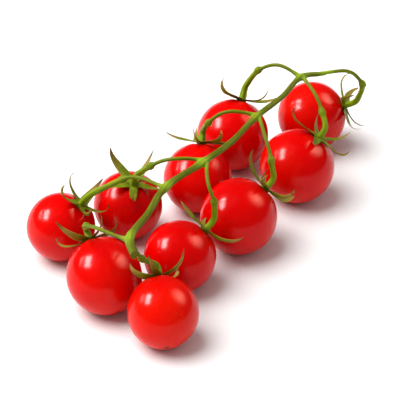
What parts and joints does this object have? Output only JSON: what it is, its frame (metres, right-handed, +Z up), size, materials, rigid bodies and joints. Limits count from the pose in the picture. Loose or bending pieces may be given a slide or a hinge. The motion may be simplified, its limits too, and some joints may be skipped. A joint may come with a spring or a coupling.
{
  "type": "truss of cherry tomatoes on the vine",
  "caption": "Cut truss of ripe cherry tomatoes lying on a surface: round red fruits on arching green pedicels with knuckles and curled calyxes, joined to one zigzag main stem.",
  "frame": {"origin": "under the middle of the truss's bounding box, on the surface that the fruits rest on", "axes": "+X along the main stem, from its cut end to its tip; +Z up from the resting surface; +Y across the two rows of fruits, towards the row whose stalks are longer"},
  "size_m": [0.1964, 0.099, 0.0527],
  "materials": {
    "skin": "glossy ripe tomato skin, saturated red",
    "main_stem": "matt olive green stem, finely ridged and downy",
    "pedicel": "matt yellowish green stalk",
    "calyx": "matt leaf green with dry brown tips"
  },
  "bodies": {
    "root": {"main_stem": "main_stem", "pedicel_01": "pedicel", "pedicel_02": "pedicel", "pedicel_03": "pedicel", "pedicel_04": "pedicel", "pedicel_05": "pedicel", "pedicel_06": "pedicel", "pedicel_07": "pedicel", "pedicel_08": "pedicel", "pedicel_09": "pedicel", "pedicel_10": "pedicel", "calyx_01": "calyx", "calyx_02": "calyx", "calyx_03": "calyx", "calyx_04": "calyx", "calyx_05": "calyx", "calyx_06": "calyx", "calyx_07": "calyx", "calyx_08": "calyx", "calyx_09": "calyx", "calyx_10": "calyx", "tomato_01": "skin", "tomato_02": "skin", "tomato_03": "skin", "tomato_04": "skin", "tomato_05": "skin", "tomato_06": "skin", "tomato_07": "skin", "tomato_08": "skin", "tomato_09": "skin", "tomato_10": "skin"}
  },
  "joints": []
}
